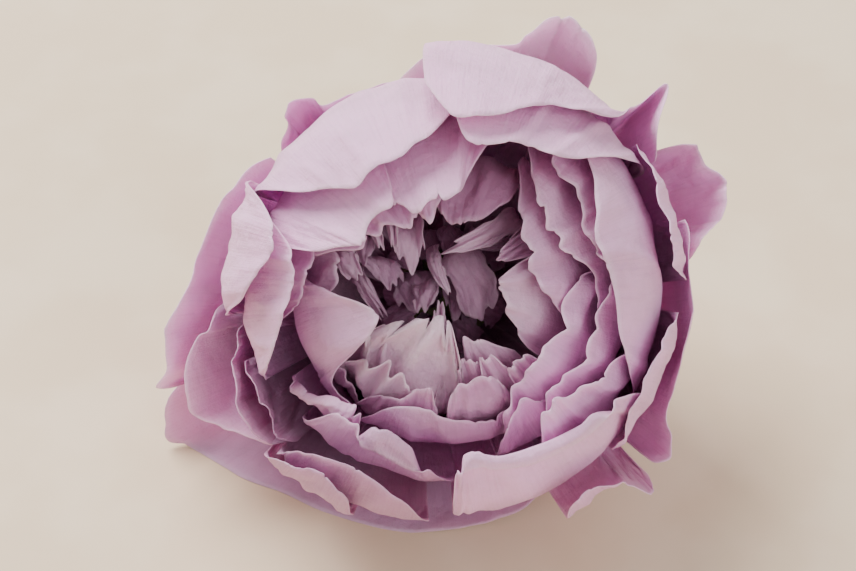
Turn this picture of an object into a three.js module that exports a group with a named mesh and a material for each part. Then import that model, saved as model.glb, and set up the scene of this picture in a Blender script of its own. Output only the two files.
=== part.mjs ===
// One full, cupped peony bloom cut with a short stem, lying tipped back on a flat surface so that
// it looks forwards (-Y) and up. Millimetres, +Z up, origin on the surface under the middle of the bloom.
//
// The bloom is drawn in its own frame: +Z is the flower's axis, height 0 is level with the foot of the
// middle bowls, and azimuth 90 is the side that ends up at the top. Its wall is a family of nested bowls
// round one centre. A petal lies on one bowl, chosen by its rank, from its claw on the receptacle to its
// margin.
import * as THREE from "three";

const DEG = Math.PI / 180;

// ---- Driving dimensions ----
const AXIS_ELEVATION = 45; // degrees that the flower's axis rises above the surface
const PETAL_THICKNESS = 0.35;
const SEPAL_THICKNESS = 0.8;
const CLEARANCE = 0.3; // between a petal and the receptacle, and under the petals that are laid down

const BOWL_CENTRE = 24; // height of the bowls' common centre
const INNER_WALL = 23; // radius of the rank 0 bowl at its wall
const WALL_PITCH = 1.25; // from one rank to the next, at the wall
const INNER_FOOT = 22; // radius of the rank 0 bowl under the centre
const FOOT_PITCH = 0.9; // from one rank to the next, at the foot
const FOOT_POLAR = 15; // degrees from straight down where the foot ends
const WALL_POLAR = 80; // degrees from straight down where the wall begins
const LOWEST_RANK = 15; // the petal that the bloom lies on
const BELLY_GAP = 0.7; // between that petal's belly and the surface

const RECEPTACLE_RADIUS = 6.5;
const RECEPTACLE_TAPER = 5; // length over which it narrows to the stem below the sepals
const BRIM_WIDTH = 2; // how far the receptacle's top spreads over the innermost claws
const BRIM_THICKNESS = 0.8;
const CROWN_RISE = 1.6; // height of the receptacle's domed top above its brim
const CROWN_RINGS = 5;
const STEM_RADIUS = 3;
const STEM_CHAMFER = 0.5;
const LATHE_SEGMENTS = 28;

const CLAW_HALF_ANGLE = 20; // degrees of azimuth on each side of a wall petal's claw
const SHOULDER_DROP = 0.1; // how far a margin falls back at its two ends, as a share of the petal
const HEART_CLAW_HALF_ANGLE = 12;
const HEART_SHOULDER_DROP = 0.03;
const WALL_STEPS = { across: 8, along: 7 };
const HEART_STEPS = { across: 6, along: 6 };

// A loose petal's outline, as shares of its width or of its length.
const FOOT_WIDTH = 0.3;
const WIDEST_AT = 0.6;
const TIP_NARROWING = 0.35;
const TIP_ROUNDING = 0.22;

// ---- Petals of the wall, from the inside out ----
// Each margin point is [azimuth, distance from the axis] where the petal stays on its bowl and curves in
// over the heart, or [azimuth, polar angle from straight down, flare] where it flares out from its bowl.
const WALL_PETALS = [
  {
    name: "inner_petal_right",
    rank: 0,
    margin: [[-18, 18], [-8, 15], [2, 13.2], [14, 12.4], [28, 12.6], [40, 14], [50, 16.4], [60, 19]],
  },
  {
    name: "inner_petal_front",
    rank: 0.4,
    margin: [[235, 23], [239, 21.4], [245.5, 18.8], [255, 17.5], [262.5, 17.7], [269, 19],
      [280, 19.6], [289, 20], [296, 19.6], [301, 21.5]],
  },
  {
    name: "inner_petal_left",
    rank: 0.2,
    margin: [[172, 22.5], [177, 19.5], [181, 16], [189, 12.6], [202, 11], [210, 12.2], [213.5, 16.5],
      [216, 20], [221, 22.8]],
  },
  {
    name: "inner_petal_top",
    rank: 1,
    margin: [[90, 10.5], [105, 9.6], [120, 10.5], [135, 12], [150, 13], [166, 15.5]],
  },
  {
    name: "crumpled_petal_low_right",
    rank: 1.4,
    margin: [[-68, 21.5], [-65, 18.8], [-58, 18], [-51, 17.3], [-44, 15.8], [-34, 15.8], [-23, 16.8],
      [-14, 17.6], [0, 18], [6, 19.8], [9, 22]],
  },
  {
    name: "wavy_petal_right",
    rank: 2.6,
    margin: [[-10, 20.5], [5, 20.5], [18, 17.8], [28, 17.2], [41, 17.6], [50, 19.5], [61, 22.5]],
  },
  {
    name: "shaded_petal_left",
    rank: 2.2,
    margin: [[158, 22], [164, 19.5], [170, 19.4], [177, 20], [184, 21.3], [189, 23.2], [193, 25]],
  },
  {
    name: "low_petal_left",
    rank: 3,
    margin: [[210, 26.4], [214, 25.9], [219, 24.6], [224, 23], [229, 21.7], [234, 21.2], [239, 22.6]],
  },
  {
    name: "hooded_petal_top",
    rank: 3.2,
    margin: [[68, 23.5], [75, 18.5], [82, 15], [91, 13.2], [107, 13.8], [118, 14], [127, 18]],
  },
  {
    name: "low_petal_front_right",
    rank: 2.8,
    margin: [[287, 26], [290.5, 23.4], [297, 20.8], [305.5, 19.6], [311, 21.2], [316, 24]],
  },
  {
    name: "tongue_petal_top_left",
    rank: 4.6,
    margin: [[121, 22], [128, 16.8], [136, 13.5], [146, 12.6], [156, 13], [161, 16], [164, 18.5],
      [165, 21.5], [165.5, 25]],
  },
  {
    name: "crumpled_petal_right",
    rank: 4.1,
    margin: [[-57, 23.5], [-48, 21.2], [-36, 20.8], [-19, 21.8], [-5, 22.2], [6, 23]],
  },
  {
    name: "frilled_petal_right",
    rank: 5.4,
    margin: [[2, 23], [12, 21.8], [24, 21.8], [34, 22.2], [47, 23.4], [58, 24.8]],
  },
  {
    name: "lipped_petal_front_left",
    rank: 5,
    margin: [[222, 28.8], [225, 26.5], [229.6, 23.7], [235.3, 23.2], [242, 22.4], [249, 22.4],
      [259, 24.2], [267.5, 27], [274, 28.8]],
  },
  {
    name: "broad_petal_low_right",
    rank: 6.6,
    margin: [[-60, 24.5], [-50, 21.8], [-42, 22.4], [-30, 25], [-16, 28]],
  },
  {
    name: "hanging_petal_left",
    rank: 6.2,
    margin: [[157, 26], [165, 22.4], [170, 22.2], [175, 21.9], [182, 22.4], [189, 23.4], [196, 25.3],
      [200, 26.3], [204, 28.2], [207, 30]],
  },
  {
    name: "cape_petal_top_left",
    rank: 7.4,
    margin: [[84, 25], [91, 22.8], [102, 21], [113, 19], [124, 18.4], [133, 18.8], [140, 21.5],
      [146, 25.5], [150, 29], [155, 31.8]],
  },
  {
    name: "smooth_petal_right",
    rank: 7.8,
    margin: [[-30, 31], [-23, 28.2], [-16, 26], [4, 23.4], [12, 22.4], [20, 22.3], [28, 23.7],
      [37, 25.8], [45, 27.2], [52, 28]],
  },
  {
    name: "dark_petal_low_left",
    rank: 7.6,
    margin: [[200, 97, 0], [207, 98, 0], [213, 98, 0.2], [218.5, 96, 0.8], [222, 95, 1.2],
      [226, 92, 0.6]],
  },
  {
    name: "cloak_petal_left",
    rank: 8.6,
    margin: [[151, 33.4], [155, 29], [161, 26], [169, 25.4], [176, 27], [183, 29.3], [187, 33]],
  },
  {
    name: "boat_petal_front",
    rank: 9,
    margin: [[271, 29], [272, 26], [274, 23.2], [279, 22.6], [286, 24.2], [298, 25.4], [312, 27],
      [323, 27.8], [329, 29.3], [333, 31.5]],
  },
  {
    name: "saddle_petal_top_right",
    rank: 9.4,
    margin: [[30, 34], [40, 30.2], [49, 27], [60, 25.4], [70, 23.2], [80, 20.8], [88, 24]],
  },
  {
    name: "pocket_petal_low_left",
    rank: 9,
    margin: [[190, 80, -1], [194, 82, -1], [199, 90, -0.5], [206, 96, 1.2], [213, 96, 2.2],
      [219, 94, 1.6], [224, 90, 0]],
  },
  {
    name: "strip_petal_low_right",
    rank: 10,
    margin: [[-44, 34], [-34, 32.4], [-23, 31.2], [-14, 32.2], [-6, 33.6]],
  },
  {
    name: "collar_petal_top_left",
    rank: 10.2,
    margin: [[92, 68, -1], [104, 73, -1], [110, 75, -1], [116, 76, -1], [121.5, 78, -1], [125, 84, 0],
      [129, 90, 0.8], [132.5, 90, 0.4], [136, 82, -1], [141, 76, -1]],
  },
  {
    name: "strip_petal_right",
    rank: 10.7,
    margin: [[2, 34], [9, 33.4], [17, 33.4], [27, 34.2], [37, 35.2]],
  },
  {
    name: "low_petal_front_left",
    rank: 9.9,
    margin: [[224.5, 34.4], [226, 32.8], [228, 31.4], [233, 29.6], [241, 29.3], [250, 29.7],
      [259, 31.4], [266, 34.6]],
  },
  {
    name: "horned_petal_top_right",
    rank: 11.5,
    margin: [[31, 92, 0.4], [37, 92, 2.8], [42.6, 88, 10.2], [43.6, 94, 2.6], [50, 36.4], [60, 33],
      [69, 29.6], [80, 27.2], [91, 26]],
  },
  {
    name: "edge_petal_left",
    rank: 12,
    margin: [[184, 78, -1], [188.5, 82, -0.8], [191, 84, 0.9], [196, 84, 3.5], [201, 83, 5],
      [206.5, 80, 6.6], [211.5, 78, 4.2], [217, 77, 2], [224, 76, 0.6]],
  },
  {
    name: "edge_petal_front_left",
    rank: 11.3,
    margin: [[222.5, 36.4], [225.5, 35], [228.5, 33.8], [233, 32.4], [238, 31.6], [244, 33], [248, 36]],
  },
  {
    name: "long_petal_right",
    rank: 12.4,
    margin: [[-40, 90, 1.6], [-39.4, 90, 3.6], [-37, 90, 4.2], [-33.4, 90, 2.4], [-28, 92, -0.5],
      [-21.5, 94, -1], [-13.5, 96, -1], [-6, 98, -1], [1.5, 98, -1], [9, 98, -1], [16, 98, -1]],
  },
  {
    name: "guard_petal_left",
    rank: 13.6,
    margin: [[143, 72, -1], [153, 74, -1.2], [160, 76, -1.2], [168, 79, -1.2], [176, 82, -0.8],
      [182, 85, 0.6], [186, 86, 2.4], [190.5, 85, 3.8], [196, 82, 5.6], [199.3, 78, 9.4], [201, 74, 4]],
  },
  {
    name: "guard_petal_front_right",
    rank: 13.2,
    margin: [[298, 114, 0], [304, 112, -0.6], [310, 106, -0.4], [313, 100, 1.4], [315.5, 94, 4.4],
      [317.5, 90, 3.6]],
  },
  {
    name: "guard_petal_right",
    rank: 14.1,
    margin: [[6, 84, -1], [9.5, 86, -0.8], [13, 84, 2.2], [16, 84, 5.2], [20, 84, 5.7], [24, 84, 4.9],
      [28, 86, 4], [31, 88, 1.9], [33, 88, -0.4]],
  },
  {
    name: "guard_petal_top",
    rank: 13.8,
    margin: [[54, 84, -1.6], [55.5, 88, 0.2], [57.5, 91, 2], [61, 92, 4], [65, 92, 4.8],
      [68.5, 92, 3.6], [72, 89, 0.6], [77, 83, -1.2], [85, 78, -1.4], [93, 75, -1.4], [98, 70, -1.4],
      [105, 64, -1.2]],
  },
  {
    name: "guard_petal_front",
    rank: 15,
    margin: [[197, 70, 4], [201.5, 68, 11], [205.5, 64, 16.4], [208.5, 63, 18.2], [212, 61, 16.3],
      [221, 61, 14], [227, 61, 13], [233, 61, 11.6], [244, 64, 7.4], [256, 67, 4.4], [266, 69, 0.6],
      [280, 69, -0.6], [290, 68, -0.6], [297, 66, -0.6]],
  },
];

// ---- Petals of the heart that close in over it on smaller bowls (ranks below 0), same margin points ----
const HEART_BOWL_PETALS = [
  {
    name: "heart_petal_shaded_left",
    rank: -1.2,
    margin: [[206, 21.5], [211, 20], [218, 19.4], [226, 20], [234, 20.8]],
  },
  {
    name: "heart_petal_low_front",
    rank: -0.6,
    margin: [[232, 20.9], [238, 18.7], [246, 16.9], [254, 15.2], [261, 14.6], [266, 17]],
  },
  {
    name: "heart_petal_rounded_front",
    rank: -0.8,
    margin: [[270, 18.5], [272, 15.7], [276, 14.6], [284, 13.7], [296, 13.7], [300, 15.9], [302, 18.4]],
  },
  {
    name: "heart_petal_small_right",
    rank: -0.7,
    margin: [[305, 17.5], [307.5, 14.8], [313, 14.3], [320, 15], [324, 17.6]],
  },
  {
    name: "heart_petal_flap_left",
    rank: -1.4,
    margin: [[156, 19], [162, 16.2], [171, 15.7], [180.5, 16.4], [187, 18.4], [190.5, 20.6]],
  },
  {
    name: "heart_petal_shaded_top",
    rank: -1.6,
    margin: [[54, 14.5], [62, 11.4], [72, 9.8], [82, 9.2], [92, 10], [98, 12.5]],
  },
  {
    name: "heart_petal_frilled_low_left",
    rank: -2,
    margin: [[212, 19.5], [217, 17.4], [222, 15.5], [230, 13.9], [236, 14.4], [243, 13.9],
      [254, 14.5], [260, 16.5]],
  },
  {
    name: "heart_petal_curled_low_right",
    rank: -2.1,
    margin: [[290, 15], [293, 12.4], [298, 11.2], [304, 11.8], [308, 14], [311, 16.5]],
  },
  {
    name: "heart_petal_spoon_right",
    rank: -2.6,
    margin: [[-36, 14], [-31, 11.6], [-22, 9.6], [-6, 7.7], [8, 8], [16, 9.6], [22, 13]],
  },
  {
    name: "heart_petal_scroll_front",
    rank: -2.9,
    margin: [[277, 14.5], [279, 11.6], [285, 10.6], [292, 11.2], [295, 14]],
  },
  {
    name: "heart_petal_crumpled_front",
    rank: -3.6,
    margin: [[208, 15], [209.5, 11.8], [212.5, 8.6], [222, 6.4], [240, 4.8], [262, 4.3], [276, 4.6],
      [280, 7.2], [281, 11.5]],
  },
  {
    name: "heart_petal_narrow_low_right",
    rank: -4.4,
    margin: [[285, 9.5], [289, 7.5], [298, 8.2], [309, 9.9], [318, 12.9]],
  },
  {
    name: "heart_petal_notched_top_right",
    rank: -4,
    margin: [[20, 12.6], [25, 9], [31, 8.7], [36, 10.3], [39, 13]],
  },
];

// ---- Petals of the heart that rise from the receptacle's top and bend over to one side ----
// spine runs along the middle of the petal: first its foot [x, y], then points [x, y, height]. across is
// the azimuth of its width, and cup how far its sides wrap down from the spine (degrees).
const HEART_LOOSE_PETALS = [
  {
    name: "heart_petal_broad",
    spine: [[2.4, -0.6], [3, 7, 23], [2.6, 4.6, 30], [4.6, -0.6, 32.5], [5.8, -5.6, 30.5]],
    width: 7,
    across: 15,
    cup: 60,
  },
  {
    name: "heart_petal_narrow",
    spine: [[-1, 1.5], [-2, 6.4, 24], [-1.6, 3.6, 33], [0.6, -1.4, 35]],
    width: 2.2,
    across: 25,
    cup: 30,
  },
  {
    name: "heart_petal_strap",
    spine: [[4.2, 2.6], [10.4, 8.4, 20], [10.6, 10.6, 30], [6, 7.8, 34.5], [-0.6, 5, 36]],
    width: 3.6,
    across: 121,
    cup: 10,
  },
  {
    name: "heart_petal_channel",
    spine: [[-4, 2.4], [-6.8, 9.6, 24], [-5.6, 8.6, 32], [-5, 1.8, 33.5]],
    width: 5.4,
    across: 0,
    cup: -100,
  },
  {
    name: "heart_petal_lobe_left",
    spine: [[-4.6, -0.4], [-10.5, 4.5, 21], [-9.6, 4.2, 28], [-8, -0.4, 29.5]],
    width: 6.4,
    across: 350,
    cup: 50,
  },
  {
    name: "heart_petal_lobe_middle",
    spine: [[-1.6, -3], [-5, 2.4, 18], [-4.8, 0.8, 25.5], [-4.2, -4.2, 26.5]],
    width: 7,
    across: 10,
    cup: 50,
  },
];

// ---- Sepals: broad leaves under the bloom ----
const SEPAL_RANK = 16.4;
const SEPAL_AZIMUTHS = [24, 82, 140, 325];
const SEPAL_HALF_ANGLE = 24; // degrees of azimuth on each side at its widest
const SEPAL_SHOULDER_POLAR = 40; // degrees from straight down
const SEPAL_TIP_POLAR = 46;
const SEPAL_FLARE = 0.5; // how far its margin stands out from its bowl

const LIGHT_LILAC = 0xd6b8d0;
const ROSE_LILAC = 0xc9a0c0;
const LEAF_GREEN = 0x7f9660;
const STEM_GREEN = 0x8a9a66;

const petalMaterial = (color) => new THREE.MeshStandardMaterial({ color, roughness: 0.75, metalness: 0 });
const lerp = (a, b, t) => a + (b - a) * t;
const UP = new THREE.Vector3(0, Math.cos(AXIS_ELEVATION * DEG), Math.sin(AXIS_ELEVATION * DEG));
const smooth = (t) => {
  const c = Math.min(1, Math.max(0, t));
  return c * c * (3 - 2 * c);
};

// Radius of a rank's bowl at a polar angle measured from straight down the axis.
function bowlRadius(rank, polar) {
  const foot = INNER_FOOT + FOOT_PITCH * rank;
  const wall = INNER_WALL + WALL_PITCH * rank;
  return lerp(foot, wall, smooth((polar / DEG - FOOT_POLAR) / (WALL_POLAR - FOOT_POLAR)));
}

// The point at an azimuth, a polar angle and a distance from the bowls' centre.
function bowlPoint(azimuth, polar, radius) {
  const out = radius * Math.sin(polar);
  return new THREE.Vector3(out * Math.cos(azimuth), out * Math.sin(azimuth), BOWL_CENTRE - radius * Math.cos(polar));
}

// The polar angle at which a rank's bowl is this far from the axis, near its foot.
function footPolar(rank, distance) {
  return Math.asin(distance / (INNER_FOOT + FOOT_PITCH * rank));
}

// The height of a rank's bowl at this distance from the axis, near its foot.
function footHeight(rank, distance) {
  const polar = footPolar(rank, distance);
  return BOWL_CENTRE - bowlRadius(rank, polar) * Math.cos(polar);
}

const brimRadius = RECEPTACLE_RADIUS + BRIM_WIDTH;
const innermostRank = Math.min(...HEART_BOWL_PETALS.map(({ rank }) => rank));
const brimUnderside = footHeight(innermostRank, brimRadius) + PETAL_THICKNESS / 2 + CLEARANCE;
const receptacleFoot = footHeight(SEPAL_RANK, RECEPTACLE_RADIUS) - SEPAL_THICKNESS;
const bellyPolar = (90 - AXIS_ELEVATION) * DEG;
const surfaceDepth = bowlRadius(LOWEST_RANK, bellyPolar) - BOWL_CENTRE * UP.z + BELLY_GAP;

// The height of the receptacle's domed top at this distance from the axis.
function crownHeight(distance) {
  return brimUnderside + BRIM_THICKNESS + CROWN_RISE * (1 - (distance / brimRadius) ** 2);
}

// A margin as a smooth curve of (azimuth, polar angle, flare).
function marginCurve({ rank, margin }) {
  const wall = INNER_WALL + WALL_PITCH * rank;
  return new THREE.CatmullRomCurve3(
    margin.map(([azimuth, reach, flare]) => {
      if (flare === undefined) return new THREE.Vector3(azimuth * DEG, Math.PI - Math.asin(reach / wall), 0);
      return new THREE.Vector3(azimuth * DEG, reach * DEG, flare);
    }),
    false,
    "centripetal",
  );
}

// A point of a rank's petal that would sink below the surface is laid on it, or on the lowest petal.
function laidDown(point, rank, thickness) {
  const below = rank < LOWEST_RANK ? PETAL_THICKNESS + CLEARANCE : 0;
  const height = surfaceDepth - below - thickness / 2 + UP.dot(point);
  return height < 0 ? point.addScaledVector(UP, -height) : point;
}

// The middle surface of a bowl petal, as a function of across (0 to 1) and along (0 to 1).
function bowlSurface(petal, clawHalfAngle, shoulderDrop, thickness) {
  const curve = marginCurve(petal);
  const middle = curve.getPoint(0.5).x;
  const start = footPolar(petal.rank, RECEPTACLE_RADIUS + CLEARANCE + thickness);
  return (across, along) => {
    const edge = curve.getPoint(across);
    const claw = middle + (across - 0.5) * 2 * clawHalfAngle * DEG;
    const spread = 1 - (1 - along) ** 2;
    const azimuth = lerp(claw, edge.x, spread);
    const shoulder = 1 - shoulderDrop * Math.abs(2 * across - 1) ** 8;
    const polar = lerp(start, edge.y, along * shoulder);
    const radius = bowlRadius(petal.rank, polar) + edge.z * along ** 3;
    return laidDown(bowlPoint(azimuth, polar, radius), petal.rank, thickness);
  };
}

// The middle surface of a loose heart petal.
function looseSurface({ spine, width, across: widthAzimuth, cup }) {
  const [[x, y], ...rest] = spine;
  const nearest = Math.max(0, Math.hypot(x, y) - (width * FOOT_WIDTH) / 2);
  const foot = new THREE.Vector3(x, y, crownHeight(nearest) + CLEARANCE);
  const path = new THREE.CatmullRomCurve3(
    [foot, ...rest.map((point) => new THREE.Vector3(...point))],
    false,
    "centripetal",
  );
  const sideways = new THREE.Vector3(Math.cos(widthAzimuth * DEG), Math.sin(widthAzimuth * DEG), 0);
  const wrap = (cup * DEG) / 2;
  return (across, along) => {
    const u = across * 2 - 1;
    const reach = along * (1 - TIP_ROUNDING * u * u * along);
    const normal = new THREE.Vector3().crossVectors(sideways, path.getTangent(reach)).normalize();
    const body = lerp(FOOT_WIDTH, 1, Math.sin((Math.PI / 2) * Math.min(1, along / WIDEST_AT)));
    const tip = 1 - TIP_NARROWING * Math.max(0, (along - WIDEST_AT) / (1 - WIDEST_AT));
    const bend = ((width / 2) * body * tip) / Math.abs(wrap);
    const point = path.getPoint(reach).addScaledVector(sideways, bend * Math.sin(u * Math.abs(wrap)));
    return point.addScaledVector(normal, Math.sign(wrap) * bend * (1 - Math.cos(u * wrap)));
  };
}

// A closed sheet of even thickness round a middle surface.
function sheet(surface, { across, along }, thickness) {
  const TINY = 1e-3;
  const inside = (t) => Math.min(1 - TINY, Math.max(TINY, t));
  const points = [];
  for (const face of [1, -1]) {
    for (let j = 0; j <= along; j++) {
      for (let i = 0; i <= across; i++) {
        const u = inside(i / across);
        const v = inside(j / along);
        const du = surface(u + TINY, v).sub(surface(u - TINY, v));
        const dv = surface(u, v + TINY).sub(surface(u, v - TINY));
        const normal = du.cross(dv).normalize();
        points.push(surface(i / across, j / along).addScaledVector(normal, (face * thickness) / 2));
      }
    }
  }
  const row = across + 1;
  const layer = row * (along + 1);
  const index = [];
  const quad = (a, b, c, d) => index.push(a, b, d, b, c, d);
  for (let j = 0; j < along; j++) {
    for (let i = 0; i < across; i++) {
      const a = j * row + i;
      quad(a, a + 1, a + 1 + row, a + row);
      index.push(layer + a, layer + a + row, layer + a + 1);
      index.push(layer + a + 1, layer + a + row, layer + a + 1 + row);
    }
  }
  const rim = [];
  for (let i = 0; i < across; i++) rim.push(i);
  for (let j = 0; j < along; j++) rim.push(across + j * row);
  for (let i = across; i > 0; i--) rim.push(along * row + i);
  for (let j = along; j > 0; j--) rim.push(j * row);
  rim.forEach((a, k) => {
    const b = rim[(k + 1) % rim.length];
    quad(a, a + layer, b + layer, b);
  });
  const geometry = new THREE.BufferGeometry().setFromPoints(points);
  geometry.setIndex(index);
  return geometry;
}

const bloom = new THREE.Group();

function addPiece(name, geometry, material) {
  const mesh = new THREE.Mesh(geometry, material);
  mesh.name = name;
  bloom.add(mesh);
}

for (const petal of WALL_PETALS) {
  const surface = bowlSurface(petal, CLAW_HALF_ANGLE, SHOULDER_DROP, PETAL_THICKNESS);
  addPiece(petal.name, sheet(surface, WALL_STEPS, PETAL_THICKNESS), petalMaterial(LIGHT_LILAC));
}
for (const petal of HEART_BOWL_PETALS) {
  const surface = bowlSurface(petal, HEART_CLAW_HALF_ANGLE, HEART_SHOULDER_DROP, PETAL_THICKNESS);
  addPiece(petal.name, sheet(surface, HEART_STEPS, PETAL_THICKNESS), petalMaterial(ROSE_LILAC));
}
for (const petal of HEART_LOOSE_PETALS) {
  addPiece(petal.name, sheet(looseSurface(petal), HEART_STEPS, PETAL_THICKNESS), petalMaterial(ROSE_LILAC));
}

SEPAL_AZIMUTHS.forEach((azimuth, i) => {
  const margin = [
    [azimuth - SEPAL_HALF_ANGLE, SEPAL_SHOULDER_POLAR, SEPAL_FLARE],
    [azimuth, SEPAL_TIP_POLAR, SEPAL_FLARE],
    [azimuth + SEPAL_HALF_ANGLE, SEPAL_SHOULDER_POLAR, SEPAL_FLARE],
  ];
  const surface = bowlSurface({ rank: SEPAL_RANK, margin }, CLAW_HALF_ANGLE, SHOULDER_DROP, SEPAL_THICKNESS);
  addPiece(`sepal_${i + 1}`, sheet(surface, HEART_STEPS, SEPAL_THICKNESS), petalMaterial(LEAF_GREEN));
});

// The stem is cut where the edge of its end just reaches the surface.
const stemEnd = -surfaceDepth / UP.z + (STEM_RADIUS - STEM_CHAMFER) * (UP.y / UP.z);
const crown = [];
for (let ring = CROWN_RINGS; ring >= 0; ring--) {
  const distance = (brimRadius * ring) / CROWN_RINGS;
  crown.push([distance, crownHeight(distance)]);
}
const receptacle = new THREE.LatheGeometry(
  [
    [0, stemEnd],
    [STEM_RADIUS - STEM_CHAMFER, stemEnd],
    [STEM_RADIUS, stemEnd + STEM_CHAMFER],
    [STEM_RADIUS, receptacleFoot - RECEPTACLE_TAPER],
    [RECEPTACLE_RADIUS, receptacleFoot],
    [RECEPTACLE_RADIUS, brimUnderside],
    [brimRadius, brimUnderside],
    ...crown,
  ].map(([x, y]) => new THREE.Vector2(x, y)),
  LATHE_SEGMENTS,
).rotateX(90 * DEG);
addPiece("receptacle_and_stem", receptacle, petalMaterial(STEM_GREEN));

bloom.rotation.x = (90 - AXIS_ELEVATION) * DEG;
bloom.updateMatrixWorld(true);
const box = new THREE.Box3().setFromObject(bloom, true);
bloom.position.set(-(box.min.x + box.max.x) / 2, -(box.min.y + box.max.y) / 2, -box.min.z);

export default bloom;
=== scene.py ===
"""A full, cupped lilac peony bloom lying tipped back on a plain surface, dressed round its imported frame.

Every petal of the frame is replaced by a fine-grained sheet on the same bowl, with a ruffled and notched
margin, creases along the petal and a thin edge. Seven margins stand a few millimetres from the frame's:
horned_petal_top_right, saddle_petal_top_right, tongue_petal_top_left, cape_petal_top_left,
hooded_petal_top, inner_petal_left and boat_petal_front. Small petals are added in the heart.
"""

import math

import bpy
import numpy as np
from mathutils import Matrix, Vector


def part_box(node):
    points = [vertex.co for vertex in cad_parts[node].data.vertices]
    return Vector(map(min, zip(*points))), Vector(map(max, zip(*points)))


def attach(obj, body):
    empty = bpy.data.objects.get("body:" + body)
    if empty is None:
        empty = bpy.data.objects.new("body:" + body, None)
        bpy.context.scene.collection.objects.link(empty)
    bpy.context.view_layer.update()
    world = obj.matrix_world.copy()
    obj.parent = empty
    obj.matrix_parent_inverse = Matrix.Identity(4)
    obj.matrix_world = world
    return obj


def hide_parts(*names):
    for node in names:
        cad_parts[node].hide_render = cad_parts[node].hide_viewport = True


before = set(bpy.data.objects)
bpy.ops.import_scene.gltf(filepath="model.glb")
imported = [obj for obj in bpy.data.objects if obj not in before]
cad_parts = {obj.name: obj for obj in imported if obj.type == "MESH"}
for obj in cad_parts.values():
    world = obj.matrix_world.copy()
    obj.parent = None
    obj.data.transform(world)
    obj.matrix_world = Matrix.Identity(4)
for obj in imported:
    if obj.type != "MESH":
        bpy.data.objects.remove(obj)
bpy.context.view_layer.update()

MM = 0.001
DEG = math.pi / 180

# ---- Sizes that the frame was made with, in millimetres and degrees ----
AXIS_ELEVATION = 45
BOWL_CENTRE = 24
INNER_WALL = 23
WALL_PITCH = 1.25
INNER_FOOT = 22
FOOT_PITCH = 0.9
FOOT_POLAR = 15
WALL_POLAR = 80
LOWEST_RANK = 15
BELLY_GAP = 0.7
FRAME_PETAL = 0.35
CLEARANCE = 0.3
RECEPTACLE_RADIUS = 6.5
BRIM_WIDTH = 2
BRIM_THICKNESS = 0.8
CROWN_RISE = 1.6
CLAW_HALF_ANGLE = 20
HEART_CLAW_HALF_ANGLE = 12
SHOULDER_DROP = 0.1
HEART_SHOULDER_DROP = 0.03
FOOT_WIDTH = 0.3
WIDEST_AT = 0.6
STEM_RADIUS = 3
STEM_CHAMFER = 0.5
SEPAL_RANK = 16.4
SEPAL_AZIMUTHS = [24, 82, 140, 325]
SEPAL_HALF_ANGLE = 24
SEPAL_SHOULDER_POLAR = 40
SEPAL_TIP_POLAR = 46
SEPAL_FLARE = 0.5

# ---- Sizes of the fine sheets ----
PETAL_THICKNESS = 0.26
MARGIN_THICKNESS = 0.12
SEPAL_THICKNESS = 0.6
WALL_GRID = (72, 60)
HEART_GRID = (48, 44)
MARGIN_FADE = 4

# ---- How the bowl petals are shaped beyond the frame's; rises are shares of the way to the margin ----
FOLD_START = 0.84
FOLD_EASE = 0.12
FOLD_GAP = 0.9
FOLD_LIFT = 0.3
RUFFLE = 0.6
RUFFLE_START = 0.55
RUFFLE_OUTWARD = 0.1
RUFFLE_SWING = 0.5
FINE_RUFFLE = 0.2
FINE_RUFFLE_START = 0.8
WAVE_COUNT = 4
RIDGE_HEIGHT = 0.05
CRINKLE_HEIGHT = 0.07
CRUMPLE = 0.3
EDGE_ROLL = 0.2
EDGE_ROLL_START = 0.93
EDGE_WAVE = 0.010
NICK_COUNT = 7
NICK_DEPTH = 0.018

# ---- How the loose petals are shaped: blunter at the tip than the frame's ----
TIP_NARROWING = 0.12
TIP_ROUNDING = 0.15
TIP_RAGGEDNESS = 0.05
SIDE_RAGGEDNESS = 0.12
LOOSE_SWAY = 0.5
LOOSE_WRINKLE = 0.1
LOOSE_CRUMPLE = 0.2
SPINE_STEP = 0.01

# ---- Petals deep in the heart, in a ring, darkened as painted shade of the heart ----
DEEP_PETALS = 12
DEEP_FOOT = 5
DEEP_BELLY = 9.5
DEEP_RISE = 5
DEEP_TIP_RISE = 3
DEEP_CUP = 60
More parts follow.
